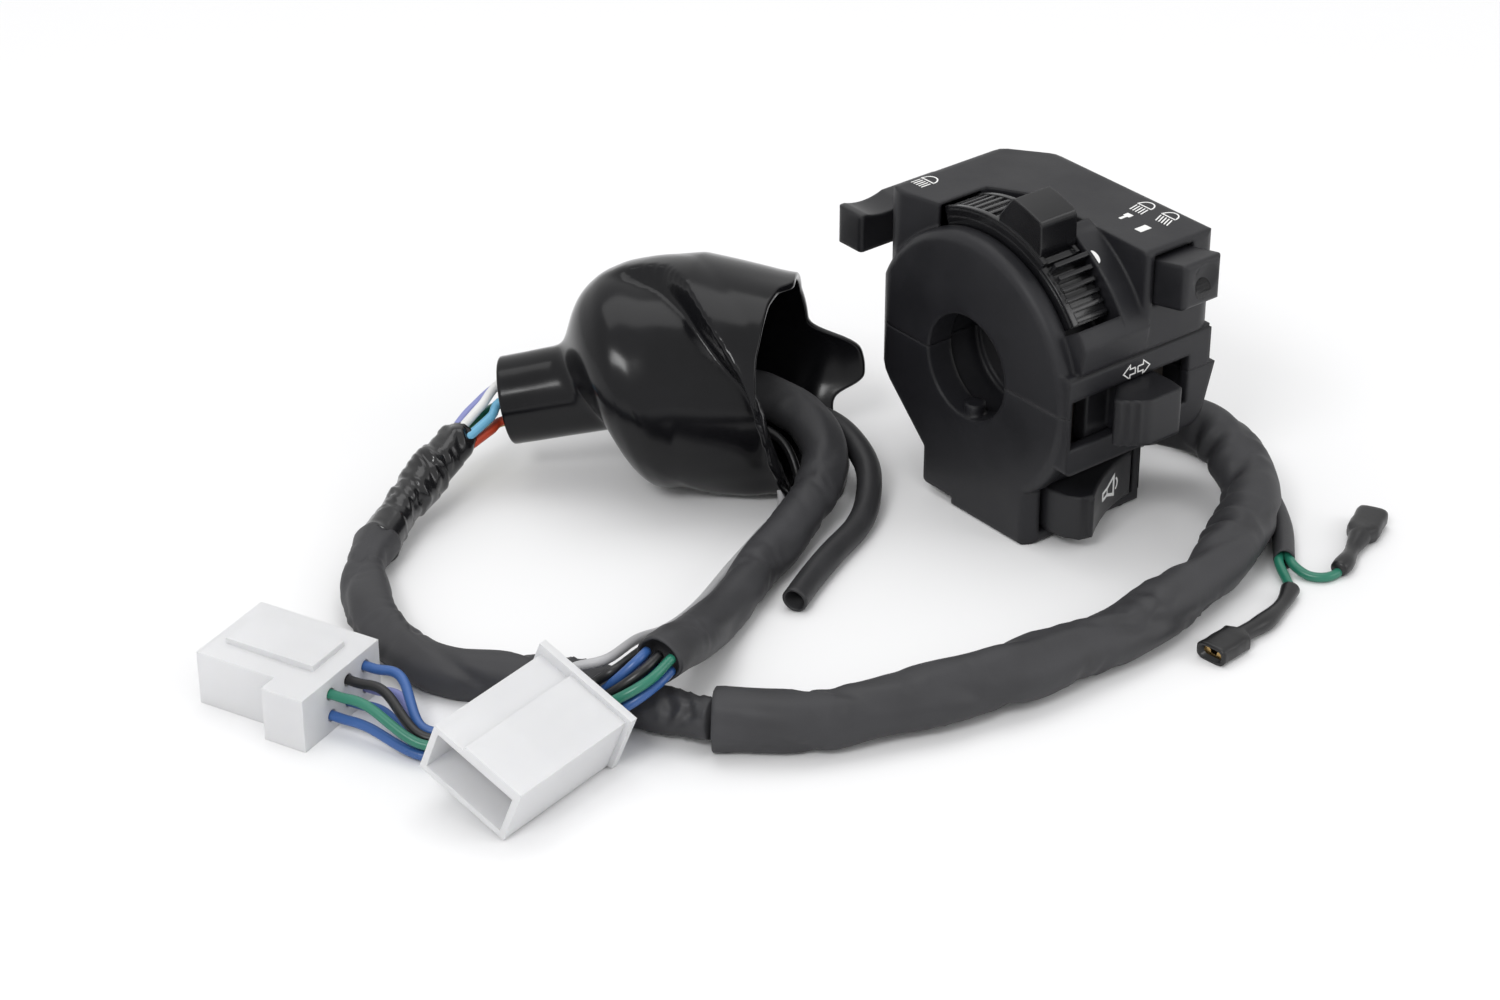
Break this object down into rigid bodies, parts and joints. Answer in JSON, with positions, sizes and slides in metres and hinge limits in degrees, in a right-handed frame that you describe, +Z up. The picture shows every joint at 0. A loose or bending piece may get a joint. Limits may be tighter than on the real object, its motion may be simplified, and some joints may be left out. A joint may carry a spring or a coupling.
{
  "type": "handlebar switch cluster",
  "caption": "Left-hand handlebar switch cluster: split housing on a bar bore, choke lever, dimmer, turn and horn switches, pass trigger, and a loom with a rubber boot and connectors.",
  "frame": {"origin": "on the axis of the handlebar bore, inside its inner land, 20 mm from the round grip-side face", "axes": "+X along the bar away from the grip, -Y towards the rider, +Z up; the foot of the housing is level at the bottom"},
  "size_m": [0.2166, 0.151, 0.0699],
  "materials": {
    "matte_black_plastic": "fine-grained matte",
    "gloss_black_plastic": "gloss",
    "black_rubber": "smooth, slightly glossy",
    "grommet_rubber": "matte",
    "sleeve_vinyl": "soft matte vinyl",
    "tape": "wrinkled gloss tape",
    "milky_nylon": "translucent, milky",
    "wire_insulation": "satin vinyl",
    "wire_insulation_green": "satin vinyl",
    "steel": "zinc plated",
    "brass": "bare",
    "fibre_board": "phenolic board"
  },
  "bodies": {
    "housing": {"upper_housing": "matte_black_plastic", "lower_housing": "matte_black_plastic", "housing_screws": "steel", "choke_leaf_spring": "steel", "pass_pin": "steel", "pass_spring": "steel", "pass_contact_block": "fibre_board", "dimmer_spring": "steel", "dimmer_contact_block": "fibre_board", "turn_base_plate": "fibre_board", "horn_pin": "steel", "horn_spring": "steel", "horn_contact_block": "fibre_board", "base_screws": "steel", "loom_grommet": "grommet_rubber", "main_loom": "sleeve_vinyl", "rear_loom": "sleeve_vinyl", "taped_loom": "tape", "neck_wires": "wire_insulation", "boot": "black_rubber", "boot_sleeve": "sleeve_vinyl", "thin_sleeve": "sleeve_vinyl", "signal_wires": "wire_insulation", "lamp_wires": "wire_insulation", "connector_six_way": "milky_nylon", "connector_three_way": "milky_nylon", "six_way_terminals": "brass", "three_way_terminals": "brass", "clutch_sleeve": "sleeve_vinyl", "clutch_wires": "wire_insulation_green", "clutch_terminal_covers": "gloss_black_plastic", "clutch_terminals": "brass"},
    "choke": {"choke_lever": "gloss_black_plastic"},
    "pass": {"pass_trigger": "matte_black_plastic"},
    "dimmer": {"dimmer_button": "matte_black_plastic"},
    "turn": {"turn_knob": "matte_black_plastic", "turn_detent_ball": "steel", "turn_detent_spring": "steel"},
    "horn": {"horn_button": "matte_black_plastic"}
  },
  "joints": [
    {"name": "choke_turn", "type": "hinge", "parent": "housing", "child": "choke", "pos_m": [-0.0107, 0, 0], "axis": [-1, 0, 0], "range_deg": [0, 28]},
    {"name": "pass_pull", "type": "hinge", "parent": "housing", "child": "pass", "pos_m": [0.0049, 0.0196, 0.0165], "axis": [0, 0, 1], "range_deg": [0, 8], "stiffness_Nm_per_rad": 0.6, "deforming": ["pass_spring"]},
    {"name": "dimmer_push", "type": "slide", "parent": "housing", "child": "dimmer", "axis": [0, 1, 0], "range_m": [0, 0.003], "stiffness_N_per_m": 800, "deforming": ["dimmer_spring"]},
    {"name": "turn_slide", "type": "slide", "parent": "housing", "child": "turn", "axis": [1, 0, 0], "range_m": [-0.004, 0.004]},
    {"name": "horn_press", "type": "hinge", "parent": "housing", "child": "horn", "pos_m": [0.0058, -0.0167, -0.02475], "axis": [0, 0, -1], "range_deg": [0, 7], "stiffness_Nm_per_rad": 0.8, "deforming": ["horn_spring"]}
  ]
}
